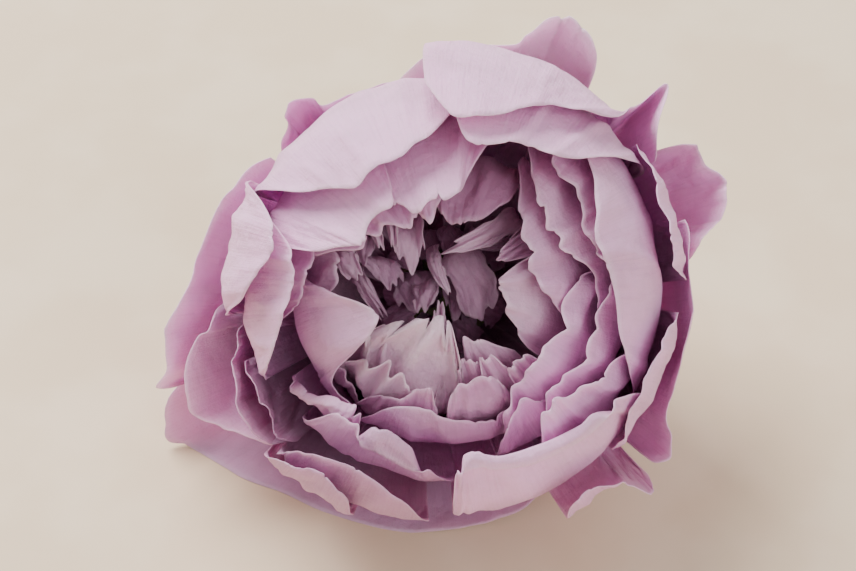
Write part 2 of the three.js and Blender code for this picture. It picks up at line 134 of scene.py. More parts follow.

# ---- Petals, from the inside out ----
# A margin point is [azimuth, distance from the axis] where the petal curves in over the heart, or
# [azimuth, polar angle from straight down, flare] where it flares out from its bowl.
# ruffle: how far the margin's waves stand out; waves: how many there are; crumple: how high the folds
# stand; roll: how far the very edge rolls out; notch: how deep the margin is nicked; slits: cuts in it, as
# [place along it, half width, depth]; fold: from where to where it is turned back, and how far in
# millimetres; tone: -1 deep mauve to 1 pale, a colour shift for each petal that is mostly painted light and
# shade: negative tones are painted shade on petals lying in shadow, tones near 1 painted light on brightly
# lit ones.
WALL_PETALS = [
    dict(
        name="inner_petal_right",
        rank=0,
        margin=[[-18, 18], [-8, 15], [2, 13.2], [14, 12.4], [28, 12.6], [40, 14], [50, 16.4], [60, 19]],
        ruffle=0.9,
        waves=5,
        crumple=0.3,
        tone=-0.3,
    ),
    dict(
        name="inner_petal_front",
        rank=0.4,
        margin=[[235, 23], [239, 21.4], [245.5, 18.8], [255, 17.5], [262.5, 17.7], [269, 19],
          [280, 19.6], [289, 20], [296, 19.6], [301, 21.5]],
        ruffle=0.5,
        waves=3,
        tone=0.1,
    ),
    dict(
        name="inner_petal_left",
        rank=0.2,
        margin=[[172, 22.5], [177, 19.5], [181, 16], [189, 12.6], [202, 11], [210, 12.2],
          [214.5, 16], [217, 20], [223, 21.8], [230, 21.6], [234, 22.8]],
        ruffle=0.8,
        crumple=0.3,
        tone=0.3,
    ),
    dict(
        name="inner_petal_top",
        rank=1,
        margin=[[90, 10.5], [105, 9.6], [120, 10.5], [135, 12], [150, 13], [166, 15.5]],
        ruffle=1.6,
        waves=6,
        notch=1.6,
        tone=0.2,
    ),
    dict(
        name="crumpled_petal_low_right",
        rank=1.4,
        margin=[[-68, 21.5], [-65, 18.8], [-58, 18], [-51, 17.3], [-44, 15.8], [-34, 15.8],
          [-23, 16.8], [-14, 17.6], [0, 18], [6, 19.8], [9, 22]],
        ruffle=1.2,
        waves=7,
        crumple=0.6,
        tone=0.5,
    ),
    dict(
        name="wavy_petal_right",
        rank=2.6,
        margin=[[-10, 20.5], [5, 20.5], [18, 17.8], [28, 17.2], [41, 17.6], [50, 19.5], [61, 22.5]],
        ruffle=1.3,
        waves=6,
        crumple=0.4,
        tone=0.7,
    ),
    dict(
        name="shaded_petal_left",
        rank=2.2,
        margin=[[158, 22], [164, 19.5], [170, 19.4], [177, 20], [184, 21.3], [189, 23.2], [193, 25]],
        ruffle=0.5,
        tone=-0.2,
    ),
    dict(
        name="low_petal_left",
        rank=3,
        margin=[[210, 26.4], [214, 25.9], [219, 24.6], [224, 23], [229, 21.7], [234, 21.2],
          [239, 22.6]],
        ruffle=0.4,
        fold=(0.05, 0.9, 2.8),
        tone=0.4,
    ),
    dict(
        name="hooded_petal_top",
        rank=3.2,
        margin=[[68, 23.5], [75, 20], [79.5, 16], [84.7, 13], [97.9, 11.9], [115, 12.2],
          [122, 13.8], [128, 18]],
        ruffle=0.8,
        waves=5,
        tone=0.3,
    ),
    dict(
        name="low_petal_front_right",
        rank=2.8,
        margin=[[287, 26], [290.5, 23.4], [297, 20.8], [305.5, 19.6], [311, 21.2], [316, 24]],
        ruffle=0.6,
        tone=0,
    ),
    dict(
        name="tongue_petal_top_left",
        rank=4.6,
        margin=[[115, 19], [119, 14.8], [124, 13.6], [134, 14], [143, 13.8], [152, 13.1],
          [156.5, 14.9], [160, 16.9], [163.7, 18.7], [165.6, 22.2], [166, 25]],
        ruffle=0.5,
        waves=3,
        notch=0.6,
        tone=0.5,
    ),
    dict(
        name="crumpled_petal_right",
        rank=4.1,
        margin=[[-57, 23.5], [-48, 21.2], [-36, 20.8], [-19, 21.8], [-5, 22.2], [6, 23]],
        ruffle=1,
        waves=6,
        crumple=0.5,
        tone=0.2,
    ),
    dict(
        name="frilled_petal_right",
        rank=5.4,
        margin=[[2, 23], [12, 21.8], [24, 21.8], [34, 22.2], [47, 23.4], [58, 24.8]],
        ruffle=1.1,
        waves=6,
        crumple=0.3,
        tone=0.4,
    ),
    dict(
        name="lipped_petal_front_left",
        rank=5,
        margin=[[222, 28.8], [225, 26.5], [229.6, 23.7], [235.3, 23.2], [242, 22.4], [249, 22.4],
          [259, 24.2], [267.5, 27], [274, 28.8]],
        ruffle=0.4,
        notch=0.5,
        fold=(0.4, 0.85, 4.6),
        tone=-0.2,
    ),
    dict(
        name="broad_petal_low_right",
        rank=6.6,
        margin=[[-60, 24.5], [-50, 21.8], [-42, 22.4], [-30, 25], [-16, 28]],
        ruffle=0.8,
        crumple=0.4,
        tone=0.4,
    ),
    dict(
        name="hanging_petal_left",
        rank=6.2,
        margin=[[157, 26], [165, 22.4], [170, 22.2], [175, 21.9], [182, 22.4], [189, 23.4],
          [196, 25.3], [200, 26.3], [204, 28.2], [207, 30]],
        ruffle=0.4,
        waves=3,
        notch=0.4,
        tone=0.6,
    ),
    dict(
        name="cape_petal_top_left",
        rank=7.4,
        margin=[[84, 25], [91.6, 22.8], [98.3, 21.2], [104.8, 20.2], [113, 19.6], [121, 18.8],
          [131.5, 19.2], [137, 20.4], [144.5, 23.9], [150, 27.6], [154, 31.8]],
        ruffle=0.8,
        waves=4,
        notch=0.6,
        tone=0.3,
    ),
    dict(
        name="smooth_petal_right",
        rank=7.8,
        margin=[[-30, 31], [-23, 28.2], [-16, 26], [4, 23.4], [12, 22.4], [20, 22.3], [28, 23.7],
          [37, 25.8], [45, 27.2], [52, 28]],
        ruffle=0.4,
        waves=2,
        notch=0.3,
        tone=0.3,
    ),
    dict(
        name="dark_petal_low_left",
        rank=7.6,
        margin=[[200, 97, 0], [207, 98, 0], [213, 98, 0.2], [218.5, 96, 0.8], [222, 95, 1.2],
          [226, 92, 0.6]],
        ruffle=0.6,
        tone=-0.8,
    ),
    dict(
        name="cloak_petal_left",
        rank=8.6,
        margin=[[151, 33.4], [155, 29], [161, 26], [169, 25.4], [176, 27], [183, 29.3], [187, 33]],
        ruffle=0.5,
        waves=3,
        notch=0.5,
        tone=0.4,
    ),
    dict(
        name="boat_petal_front",
        rank=9,
        margin=[[272, 27.6], [273, 25.2], [275.5, 23.4], [280, 22.7], [286, 24], [298, 25.4],
          [312, 27], [323, 27.8], [329, 29.3], [333, 31.5]],
        ruffle=0.5,
        waves=2,
        notch=0.3,
        fold=(0.12, 0.85, 2.2),
        tone=0.1,
    ),
    dict(
        name="saddle_petal_top_right",
        rank=9.4,
        margin=[[30, 34.6], [34.4, 32.4], [39.9, 29], [45.5, 26], [51.6, 24], [58, 23.6],
          [63.1, 22.8], [70.7, 21.2], [78, 19.9], [84, 20.2], [90, 23.4]],
        ruffle=0.5,
        waves=2,
        notch=0.4,
        tone=0.5,
    ),
    dict(
        name="pocket_petal_low_left",
        rank=9,
        margin=[[190, 80, -1], [194, 82, -1], [199, 90, -0.5], [206, 96, 1.2], [213, 96, 2.2],
          [219, 94, 1.6], [224, 90, 0]],
        ruffle=0.5,
        tone=-0.7,
    ),
    dict(
        name="strip_petal_low_right",
        rank=10,
        margin=[[-44, 34], [-34, 32.4], [-23, 31.2], [-14, 32.2], [-6, 33.6]],
        ruffle=0.5,
        tone=0,
    ),
    dict(
        name="collar_petal_top_left",
        rank=10.2,
        margin=[[92, 68, -1], [104, 73, -1], [110, 75, -1], [116, 76, -1], [121.5, 78, -1],
          [125, 84, 0], [129, 90, 0.8], [132.5, 90, 0.4], [136, 82, -1], [141, 76, -1]],
        ruffle=0.6,
        waves=3,
        notch=0.4,
        tone=0,
    ),
    dict(
        name="strip_petal_right",
        rank=10.7,
        margin=[[2, 34], [9, 33.4], [17, 33.4], [27, 34.2], [37, 35.2]],
        ruffle=0.5,
        tone=0.5,
    ),
    dict(
        name="low_petal_front_left",
        rank=9.9,
        margin=[[224.5, 34.4], [226, 32.8], [228, 31.4], [233, 29.6], [241, 29.3], [250, 29.7],
          [259, 31.4], [266, 34.6]],
        ruffle=0.5,
        waves=3,
        notch=0.6,
        tone=-0.9,
    ),
    dict(
        name="horned_petal_top_right",
        rank=11.5,
        margin=[[31, 92, 0.4], [37, 92, 2.8], [42.6, 88, 8.8], [44.2, 94, 2.2], [48.5, 33.5],
          [54.5, 31.2], [59.5, 30.2], [64.5, 28], [71, 25.6], [79.8, 23.8], [88.2, 22.6],
          [96, 23.5]],
        ruffle=0.4,
        waves=2,
        notch=0.3,
        tone=0.6,
    ),
    dict(
        name="edge_petal_left",
        rank=12,
        margin=[[184, 78, -1], [188.5, 82, -0.8], [191, 84, 0.9], [196, 84, 3.5], [201, 83, 5],
          [206.5, 80, 6.6], [211.5, 78, 4.2], [217, 77, 2], [224, 76, 0.6]],
        ruffle=0.5,
        waves=3,
        notch=0.5,
        tone=0.5,
    ),
    dict(
        name="edge_petal_front_left",
        rank=11.3,
        margin=[[222.5, 36.4], [225.5, 35], [228.5, 33.8], [233, 32.4], [238, 31.6], [244, 33],
          [248, 36]],
        ruffle=0.5,
        waves=3,
        tone=-0.7,
    ),
    dict(
        name="long_petal_right",
        rank=12.4,
        margin=[[-40, 90, 1.6], [-39.4, 90, 3.6], [-37, 90, 4.2], [-33.4, 90, 2.4], [-28, 92, -0.5],
          [-21.5, 94, -1], [-13.5, 96, -1], [-6, 98, -1], [1.5, 98, -1], [9, 98, -1], [16, 98, -1]],
        ruffle=0.6,
        waves=4,
        notch=0.5,
        tone=0.6,
    ),
    dict(
        name="guard_petal_left",
        rank=13.6,
        margin=[[143, 72, -1], [153, 74, -1.2], [160, 76, -1.2], [168, 79, -1.2], [176, 82, -0.8],
          [182, 85, 0.6], [186, 86, 2.4], [190.5, 85, 3.8], [196, 82, 5.6], [199.3, 78, 9.4],
          [201, 74, 4]],
        ruffle=0.6,
        waves=3,
        notch=0.4,
        tone=0.7,
    ),
    dict(
        name="guard_petal_front_right",
        rank=13.2,
        margin=[[298, 114, 0], [304, 112, -0.6], [310, 106, -0.4], [313, 100, 1.4],
          [315.5, 94, 4.4], [317.5, 90, 3.6]],
        ruffle=0.5,
        waves=3,
        notch=0.5,
        tone=-0.3,
    ),
    dict(
        name="guard_petal_right",
        rank=14.1,
        margin=[[6, 84, -1], [9.5, 86, -0.8], [13, 84, 2.2], [16, 84, 5.2], [20, 84, 5.7],
          [24, 84, 4.9], [28, 86, 4], [31, 88, 1.9], [33, 88, -0.4]],
        ruffle=0.9,
        waves=4,
        notch=0.8,
        tone=0.4,
    ),
    dict(
        name="guard_petal_top",
        rank=13.8,
        margin=[[54, 84, -1.6], [55.5, 88, 0.2], [57.5, 91, 2], [61, 92, 4], [65, 92, 4.8],
          [68.5, 92, 3.6], [72, 89, 0.6], [77, 83, -1.2], [85, 78, -1.4], [93, 75, -1.4],
          [98, 70, -1.4], [105, 64, -1.2]],
        ruffle=0.8,
        waves=3,
        notch=0.6,
        tone=1.0,
        slits=[(0.4, 0.02, 0.07), (0.31, 0.012, 0.03)],
    ),
    dict(
        name="guard_petal_front",
        rank=15,
        margin=[[197, 70, 4], [201.5, 68, 11], [205.5, 64, 16.4], [208.5, 63, 18.2], [212, 61, 16.3],
          [221, 61, 14], [227, 61, 13], [233, 61, 11.6], [244, 64, 7.4], [256, 67, 4.4],
          [266, 69, 0.6], [280, 69, -0.6], [290, 68, -0.6], [297, 66, -0.6]],
        ruffle=0.9,
        waves=5,
        notch=0.6,
        tone=-0.5,
    ),
]

HEART_BOWL_PETALS = [
    dict(
        name="heart_petal_shaded_left",
        rank=-1.2,
        margin=[[206, 21.5], [211, 20], [218, 19.4], [226, 20], [234, 20.8]],
        ruffle=0.5,
        crumple=0.4,
        tone=-0.2,
    ),
    dict(
        name="heart_petal_low_front",
        rank=-0.6,
        margin=[[232, 20.9], [238, 18.7], [246, 16.9], [254, 15.2], [261, 14.6], [266, 17]],
        ruffle=0.6,
        crumple=0.4,
        tone=-0.1,
    ),
    dict(
        name="heart_petal_rounded_front",
        rank=-0.8,
        margin=[[270, 18.5], [272, 15.7], [276, 14.6], [284, 13.7], [296, 13.7], [300, 15.9],
          [302, 18.4]],
        ruffle=0.5,
        crumple=0.3,
        tone=0.5,
    ),
    dict(
        name="heart_petal_small_right",
        rank=-0.7,
        margin=[[305, 17.5], [307.5, 14.8], [313, 14.3], [320, 15], [324, 17.6]],
        ruffle=0.8,
        crumple=0.4,
        tone=0.3,
    ),
    dict(
        name="heart_petal_flap_left",
        rank=-1.4,
        margin=[[156, 19], [162, 16.2], [171, 15.7], [180.5, 16.4], [187, 18.4], [190.5, 20.6]],
        ruffle=0.9,
        crumple=0.5,
        notch=1.6,
        tone=0.5,
    ),
    dict(
        name="heart_petal_shaded_top",
        rank=-1.6,
        margin=[[54, 14.5], [62, 11.4], [72, 9.8], [82, 9.2], [92, 10], [98, 12.5]],
        ruffle=0.6,
        crumple=0.4,
        tone=-0.8,
    ),
    dict(
        name="heart_petal_frilled_low_left",
        rank=-2,
        margin=[[212, 19.5], [217, 17.4], [222, 15.5], [230, 13.9], [236, 14.4], [243, 13.9],
          [254, 14.5], [260, 16.5]],
        ruffle=1.2,
        waves=5,
        crumple=0.8,
        notch=1.5,
        tone=0.8,
    ),
    dict(
        name="heart_petal_curled_low_right",
        rank=-2.1,
        margin=[[290, 15], [293, 12.4], [298, 11.2], [304, 11.8], [308, 14], [311, 16.5]],
        ruffle=0.6,
        crumple=0.4,
        tone=0.4,
    ),
    dict(
        name="heart_petal_spoon_right",
        rank=-2.6,
        margin=[[-36, 14], [-31, 11.6], [-22, 9.6], [-6, 7.7], [8, 8], [16, 9.6], [22, 13]],
        ruffle=0.6,
        crumple=0.5,
        tone=0.1,
    ),
    dict(
        name="heart_petal_scroll_front",
        rank=-2.9,
        margin=[[277, 14.5], [279, 11.6], [285, 10.6], [292, 11.2], [295, 14]],
        ruffle=0.6,
        crumple=0.4,
        tone=0.3,
    ),
    dict(
        name="heart_petal_crumpled_front",
        rank=-3.6,
        margin=[[208, 15], [209.5, 11.8], [212.5, 8.6], [222, 6.4], [240, 4.8], [262, 4.3],
          [276, 4.6], [280, 7.2], [281, 11.5]],
        ruffle=0.8,
        waves=4,
        crumple=0.9,
        notch=1.6,
        tone=0.8,
        slits=[(0.22, 0.02, 0.05), (0.36, 0.03, 0.07), (0.52, 0.02, 0.05), (0.68, 0.03, 0.08)],
    ),
    dict(
        name="heart_petal_narrow_low_right",
        rank=-4.4,
        margin=[[285, 9.5], [289, 7.5], [298, 8.2], [309, 9.9], [318, 12.9]],
        ruffle=0.4,
        crumple=0.3,
        tone=0.1,
    ),
    dict(
        name="heart_petal_notched_top_right",
        rank=-4,
        margin=[[20, 12.6], [25, 9], [31, 8.7], [36, 10.3], [39, 13]],
        ruffle=0.6,
        crumple=0.4,
        tone=-0.4,
    ),
]

# A loose petal's spine runs up its middle: its foot [x, y] on the receptacle, then points [x, y, height].
# across is the azimuth of its width and cup how far its sides wrap down from the spine.
HEART_LOOSE_PETALS = [
    dict(
        name="heart_petal_broad",
        spine=[[2.4, -0.6], [3, 7, 23], [2.6, 4.6, 30], [4.6, -0.6, 32.5], [5.8, -5.6, 30.5]],
        width=7, across=15, cup=60,
        crumple=0.2, tone=0.1,
    ),
    dict(
        name="heart_petal_narrow",
        spine=[[-1, 1.5], [-2, 6.4, 24], [-1.6, 3.6, 33], [0.6, -1.4, 35]],
        width=2.2, across=25, cup=30,
        crumple=0.1, tone=0.4,
    ),
    dict(
        name="heart_petal_strap",
        spine=[[4.2, 2.6], [10.4, 8.4, 20], [10.6, 10.6, 30], [6, 7.8, 34.5], [-0.6, 5, 36]],
        width=3.6, across=121, cup=10,
        crumple=0.2, tone=0.6,
    ),
    dict(
        name="heart_petal_channel",
        spine=[[-4, 2.4], [-6.8, 9.6, 24], [-5.6, 8.6, 32], [-5, 1.8, 33.5]],
        width=5.4, across=0, cup=-100,
        crumple=0.3, tone=-0.1,
    ),
    dict(
        name="heart_petal_lobe_left",
        spine=[[-4.6, -0.4], [-10.5, 4.5, 21], [-9.6, 4.2, 28], [-8, -0.4, 29.5]],
        width=6.4, across=350, cup=50,
        crumple=0.3, tone=-0.3,
    ),
    dict(
        name="heart_petal_lobe_middle",
        spine=[[-1.6, -3], [-5, 2.4, 18], [-4.8, 0.8, 25.5], [-4.2, -4.2, 26.5]],
        width=7, across=10, cup=50,
        crumple=0.3, tone=-0.2,
    ),
]

# Small petals that fill the heart between the ones of the frame.
HEART_EXTRA_PETALS = [
    dict(
        name="heart_petal_small_flap",
        spine=[[-5.4, 1.4], [-15.4, 6.4, 24], [-15, 4.8, 32], [-12.6, 0.8, 33.5]],
        width=3.8, across=40, cup=40,
        tone=0.5, crumple=0.25,
    ),
    dict(
        name="heart_petal_long_edge",
        spine=[[-5, -1], [-13, 3, 22], [-12.8, 1, 29], [-8.6, -5.2, 30.5]],
        width=2.6, across=50, cup=40,
        tone=0.2, crumple=0.25,
    ),
    dict(
        name="heart_petal_finger_left",
        spine=[[-4.2, 3], [-11.6, 11.6, 26], [-11, 10, 33], [-9.2, 5.4, 34.5]],
        width=2.4, across=10, cup=90,
        tone=0.6, crumple=0.25,
    ),
    dict(
        name="heart_petal_finger_right",
        spine=[[-3.6, 3.8], [-8.2, 11.8, 27], [-8, 10, 34.4], [-7.4, 5.2, 36]],
        width=2, across=5, cup=90,
        tone=0.6, crumple=0.25,
    ),
    dict(
        name="heart_petal_pale_lobe",
        spine=[[-1, -1.6], [-3, 1.4, 21], [-3, -0.4, 29.6], [-3.2, -4, 30.4]],
        width=4.2, across=15, cup=40,
        tone=0.5, crumple=0.25,
    ),
    dict(
        name="heart_petal_spike",
        spine=[[-0.4, -3.4], [-0.8, -7, 24], [-0.9, -5.6, 34], [-0.9, -1.8, 38]],
        width=2.4, across=0, cup=50,
        tone=0.6, crumple=0.25,
    ),
    dict(
        name="heart_petal_crumpled_left",
        spine=[[-3, -4], [-9.8, -15, 26], [-9.8, -11, 34.5], [-8.6, -4.8, 38.6]],
        width=5.6, across=350, cup=50,
        tone=0.8, crumple=0.8,
    ),
    dict(
        name="heart_petal_small_pale",
        spine=[[0, -4.6], [-0.6, -18.6, 26], [-0.4, -17, 34], [-0.2, -14, 36]],
        width=3.8, across=12, cup=50,
        tone=0.7, crumple=0.25,
    ),
    dict(
        name="heart_petal_curl_right",
        spine=[[2.6, -4], [8.6, -17, 24], [8.2, -15, 33], [7.4, -10.4, 36.4]],
        width=4.6, across=340, cup=60,
        tone=0.3, crumple=0.25,
    ),
    dict(
        name="heart_petal_slip_lower",
        spine=[[3, 0.8], [9.6, 7, 18], [8.8, 6.6, 26], [4, 6.2, 29]],
        width=1.8, across=105, cup=30,
        tone=0.1, crumple=0.25,
    ),
    dict(
        name="heart_petal_slip_upper",
        spine=[[3.4, 2.2], [10.4, 9.4, 20], [9.6, 8.8, 28], [5, 7.4, 31.4]],
        width=1.4, across=100, cup=30,
        tone=0.1, crumple=0.25,
    ),
    dict(
        name="heart_petal_behind_broad",
        spine=[[1, -1.6], [1.2, 3.6, 18], [1.4, 0.8, 26], [1.6, -5.6, 27.5]],
        width=4, across=0, cup=50,
        tone=-0.5, crumple=0.25,
    ),
    dict(
        name="heart_petal_low_shelf",
        spine=[[2.4, -3.2], [6, -14, 22], [6, -12, 30.5], [6.2, -8.8, 33.6]],
        width=8, across=350, cup=40,
        tone=-0.3, crumple=0.25,
    ),
    dict(
        name="heart_petal_low_tuck",
        spine=[[-1.6, -4.8], [-5, -20.4, 24], [-5, -19, 31.5], [-5, -16, 34]],
        width=5.4, across=0, cup=50,
        tone=0, crumple=0.25,
    ),
    dict(
        name="heart_petal_tiny_scroll",
        spine=[[0.4, -5.2], [0.8, -21.2, 25], [0.8, -20.2, 31.5], [1, -18, 33.6]],
        width=2.6, across=0, cup=160,
        tone=-0.3, crumple=0.25,
    ),
    dict(
        name="heart_petal_left_tuck",
        spine=[[-5, 0.6], [-12, 6, 20], [-12.4, 7.4, 27], [-11.6, 3.4, 31]],
        width=4, across=20, cup=60,
        tone=-0.2, crumple=0.25,
    ),
    dict(
        name="heart_petal_top_slip",
        spine=[[2.4, 4], [6.6, 17, 24], [6.4, 17.6, 31], [4.4, 13.4, 34.6]],
        width=4, across=150, cup=40,
        tone=-0.3, crumple=0.25,
    ),
    dict(
        name="heart_petal_top_tuck",
        spine=[[0.6, 4.4], [1.4, 14.8, 22], [1, 14.6, 30], [0.2, 9.8, 33]],
        width=5, across=165, cup=50,
        tone=-0.3, crumple=0.25,
    ),
]

# ---- Noise that is smooth, seeded and cheap ----
def waves(random, count, across, along):
    """A smooth random field over a petal, from -1 to 1, with up to that many waves each way."""
    freqs = random.uniform(0.25, 1, (count, 2)) * [across, along]
    freqs[:, 1] *= random.choice([-1, 1], count)
    phases = random.uniform(0, 2 * math.pi, count)
    weights = 1 / (0.5 + np.abs(freqs).sum(1) / max(across, along))
    weights /= weights.sum() ** 0.5 * weights.max() ** 0.5

    def field(u, v):
        total = 0
        for (f, g), phase, weight in zip(freqs, phases, weights):
            total = total + weight * np.sin(2 * math.pi * (f * u + g * v) + phase)
        return np.clip(total, -1, 1)

    return field


def smooth(t):
    t = np.clip(t, 0, 1)
    return t * t * (3 - 2 * t)


def ramp(value, start, end):
    """0 up to start, 1 from end on, and smooth in between."""
    return smooth((value - start) / (end - start))


def lerp(a, b, t):
    return a + (b - a) * t


# ---- The bowls that the petals lie on ----
UP = np.array([0, math.cos(AXIS_ELEVATION * DEG), math.sin(AXIS_ELEVATION * DEG)])


def bowl_radius(rank, polar):
    foot = INNER_FOOT + FOOT_PITCH * rank
    wall = INNER_WALL + WALL_PITCH * rank
    return lerp(foot, wall, smooth((polar / DEG - FOOT_POLAR) / (WALL_POLAR - FOOT_POLAR)))


def bowl_point(azimuth, polar, radius):
    out = radius * np.sin(polar)
    height = BOWL_CENTRE - radius * np.cos(polar)
    return np.stack([out * np.cos(azimuth), out * np.sin(azimuth), height], -1)


def foot_polar(rank, distance):
    return math.asin(distance / (INNER_FOOT + FOOT_PITCH * rank))


def foot_height(rank, distance):
    polar = foot_polar(rank, distance)
    return BOWL_CENTRE - bowl_radius(rank, polar) * math.cos(polar)


SURFACE_DEPTH = bowl_radius(LOWEST_RANK, (90 - AXIS_ELEVATION) * DEG) - BOWL_CENTRE * UP[2] + BELLY_GAP
BRIM_RADIUS = RECEPTACLE_RADIUS + BRIM_WIDTH
BRIM_UNDERSIDE = (
    foot_height(min(petal["rank"] for petal in HEART_BOWL_PETALS), BRIM_RADIUS) + FRAME_PETAL / 2 + CLEARANCE
)


def crown_height(distance):
    """How high the receptacle's domed top is at a distance from the axis."""
    return BRIM_UNDERSIDE + BRIM_THICKNESS + CROWN_RISE * (1 - (distance / BRIM_RADIUS) ** 2)


def laid_down(points, rank, thickness):
    """Points that would sink below the surface, laid on it or on the lowest petal."""
    below = FRAME_PETAL + CLEARANCE if rank < LOWEST_RANK else 0
    height = SURFACE_DEPTH - below - thickness / 2 + points @ UP
    return points - np.minimum(height, 0)[..., None] * UP


def curve_through(points, t):
    """The centripetal Catmull-Rom curve through some points, at each t from 0 to 1."""
    pts = np.array(points, float)
    pts = np.vstack([2 * pts[0] - pts[1], pts, 2 * pts[-1] - pts[-2]])
    at = np.clip(np.asarray(t, float), 0, 1) * (len(pts) - 3)
    first = np.minimum(at.astype(int), len(pts) - 4)
    w = (at - first)[..., None]
    p0, p1, p2, p3 = (pts[first + k] for k in range(4))
    d0, d1, d2 = (np.sum((b - a) ** 2, -1, keepdims=True) ** 0.25 for a, b in ((p0, p1), (p1, p2), (p2, p3)))
    leave = ((p1 - p0) / d0 - (p2 - p0) / (d0 + d1) + (p2 - p1) / d1) * d1
    arrive = ((p2 - p1) / d1 - (p3 - p1) / (d1 + d2) + (p3 - p2) / d2) * d1
    return p1 + w * (leave + w * (3 * (p2 - p1) - 2 * leave - arrive + w * (2 * (p1 - p2) + leave + arrive)))


def margin_points(petal):
    wall = INNER_WALL + WALL_PITCH * petal["rank"]
    points = []
    for azimuth, reach, *flare in petal["margin"]:
        if flare:
            points.append([azimuth * DEG, reach * DEG, flare[0]])
        else:
            points.append([azimuth * DEG, math.pi - math.asin(reach / wall), 0])
    return points


def bowl_surface(petal, claw_half_angle, shoulder_drop, thickness, random):
    """A bowl petal's middle surface, as a function of across and along (both 0 to 1)."""
    rank = petal["rank"]
    points = margin_points(petal)
    middle = curve_through(points, 0.5)[0]
    start = foot_polar(rank, RECEPTACLE_RADIUS + CLEARANCE + thickness)
    ruffle = petal.get("ruffle", RUFFLE)
    crumple = petal.get("crumple", CRUMPLE)
    count = petal.get("waves", WAVE_COUNT)
    big = waves(random, 5, count, 0.7)
    small = waves(random, 8, count * 2.5, 1.5)
    ridges = waves(random, 12, 16, 0.6)
    crinkle = waves(random, 14, 12, 12)
    folds = waves(random, 7, 3, 2.5)
    edge_big = waves(random, 5, count * 1.2, 0)
    nicks = random.uniform(0.05, 0.95, NICK_COUNT)
    nick_widths = random.uniform(0.008, 0.03, NICK_COUNT)
    nick_depths = random.uniform(0.0, 1.0, NICK_COUNT) ** 2
    notch = petal.get("notch", 1)
    first, last, turn_back = petal.get("fold", (0, 0, 0))

    def surface(u, v):
        edge = curve_through(points, u)
        claw = middle + (u - 0.5) * 2 * claw_half_angle * DEG
        folded = smooth((u - first) / FOLD_EASE) * smooth((last - u) / FOLD_EASE) if turn_back else 0 * u
        rise = lerp(v, np.minimum(1, v / FOLD_START), folded)
        past = np.clip((v - FOLD_START) / (1 - FOLD_START), 0, 1) * folded
        spread = 1 - (1 - rise) ** 2
        azimuth = lerp(claw, edge[..., 0], spread)
        shoulder = 1 - shoulder_drop * np.abs(2 * u - 1) ** 8
        nicked = sum(
            depth * np.maximum(0, 1 - np.abs(u - at) / width)
            for at, width, depth in zip(nicks, nick_widths, nick_depths)
        )
        cut = 1 - notch * (EDGE_WAVE * edge_big(u, 0 * u) + NICK_DEPTH * nicked)
        for at, width, depth in petal.get("slits", []):
            cut = cut - depth * np.maximum(0, 1 - np.abs(u - at) / width)
        reach = rise * shoulder * lerp(1, cut, rise**3)
        polar = lerp(start, edge[..., 1], reach)
        near = ramp(rise, RUFFLE_START, 1)
        lift = ruffle * near * (RUFFLE_OUTWARD + RUFFLE_SWING * big(u, v))
        lift = lift + ruffle * FINE_RUFFLE * ramp(rise, FINE_RUFFLE_START, 1) * RUFFLE_SWING * small(u, v)
        lift = lift + RIDGE_HEIGHT * ramp(rise, 0.15, 0.45) * ridges(u, v)
        lift = lift + CRINKLE_HEIGHT * ramp(rise, 0.3, 0.8) * crinkle(u, v)
        lift = lift + crumple * ramp(rise, 0.3, 0.7) * (1 - 2 * np.abs(folds(u, v)))
        lift = lift + petal.get("roll", EDGE_ROLL) * ramp(rise, EDGE_ROLL_START, 1) ** 2 * (1 - folded)
        radius = bowl_radius(rank, polar) + edge[..., 2] * rise**3 + lift
        polar = polar - turn_back * past / radius
        radius = radius + FOLD_GAP * ramp(past, 0, 0.4) + FOLD_LIFT * past
        return laid_down(bowl_point(azimuth, polar, radius), rank, thickness)

    return surface


def loose_surface(petal, random):
    """A loose heart petal's middle surface: it rises from its foot and bends over to one side."""
    (x, y), *rest = petal["spine"]
    nearest = max(0, math.hypot(x, y) - petal["width"] * FOOT_WIDTH / 2)
    spine = [[x, y, crown_height(nearest) + CLEARANCE], *rest]
    turn = petal["across"] * DEG
    sideways = np.array([math.cos(turn), math.sin(turn), 0])
    wrap = petal["cup"] * DEG / 2
    crumple = petal.get("crumple", LOOSE_CRUMPLE)
    big = waves(random, 5, 2, 2)
    small = waves(random, 10, 7, 7)
    folds = waves(random, 6, 2, 1.5)
    left_edge = waves(random, 6, 1, 5)
    right_edge = waves(random, 6, 1, 5)
    tip_edge = waves(random, 8, 4, 1)

    def surface(u, v):
        x = u * 2 - 1
        cut = TIP_RAGGEDNESS * v**4 * (1 + tip_edge(u, 0 * v))
        reach = np.clip(v * (1 - TIP_ROUNDING * x * x * v) - cut, 0, 1)
        ahead = curve_through(spine, np.clip(reach + SPINE_STEP, 0, 1))
        behind = curve_through(spine, np.clip(reach - SPINE_STEP, 0, 1))
        normal = np.cross(sideways, ahead - behind)
        normal /= np.linalg.norm(normal, axis=-1, keepdims=True)
        body = lerp(FOOT_WIDTH, 1, np.sin(math.pi / 2 * np.minimum(1, v / WIDEST_AT)))
        tip = 1 - TIP_NARROWING * np.maximum(0, (v - WIDEST_AT) / (1 - WIDEST_AT))
        side = np.where(x < 0, left_edge(0 * u, v), right_edge(0 * u, v))
        ragged = 1 + SIDE_RAGGEDNESS * side * np.abs(x)
        bend = petal["width"] / 2 * body * tip * ragged / abs(wrap)
        point = curve_through(spine, reach) + (bend * np.sin(x * abs(wrap)))[..., None] * sideways
        lift = LOOSE_SWAY * ramp(v, 0.3, 1) * big(u, v) + LOOSE_WRINKLE * small(u, v) * v
        lift = lift + crumple * v * (1 - 2 * np.abs(folds(u, v)))
        depth = np.sign(wrap) * bend * (1 - np.cos(x * wrap)) + lift
        return point + depth[..., None] * normal

    return surface


